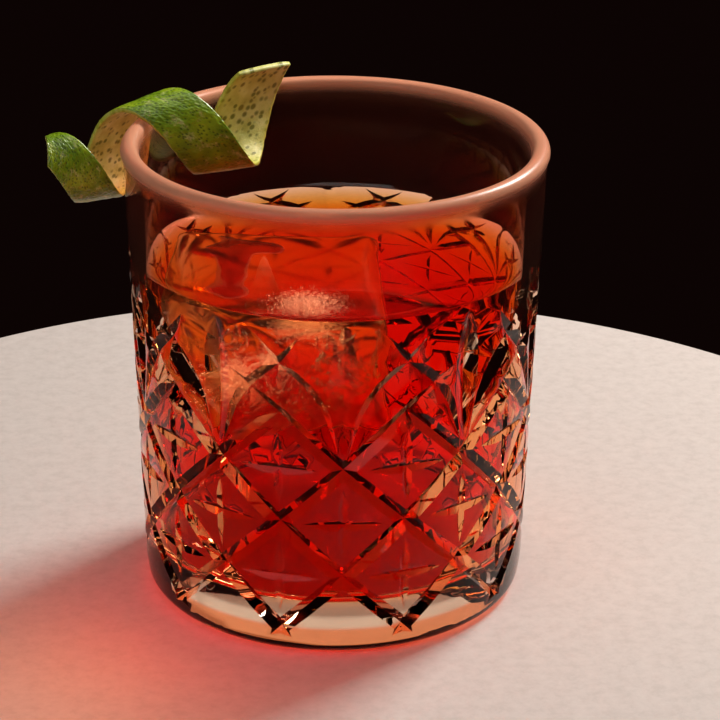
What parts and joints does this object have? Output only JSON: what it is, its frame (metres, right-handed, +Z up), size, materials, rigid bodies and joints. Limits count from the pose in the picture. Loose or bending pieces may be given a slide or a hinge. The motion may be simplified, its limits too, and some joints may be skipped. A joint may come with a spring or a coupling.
{
  "type": "negroni",
  "caption": "Red cocktail in a clear cut glass tumbler with a diamond, star and fan pattern and a coiled twist of lime peel hung on the rim.",
  "frame": {"origin": "middle of the tumbler's flat base, on the surface it stands on", "axes": "+Z up; -Y towards the front of the glass; the lime twist hangs over the rim on the -X side"},
  "size_m": [0.1014, 0.086, 0.1012],
  "materials": {
    "glass": "clear polished",
    "drink": "clear deep red liquid",
    "ice": "clear with a cloudy core",
    "peel": "waxy, finely pitted"
  },
  "bodies": {
    "root": {"glass": "glass", "drink": "drink", "lime_twist": "peel"}
  },
  "joints": []
}
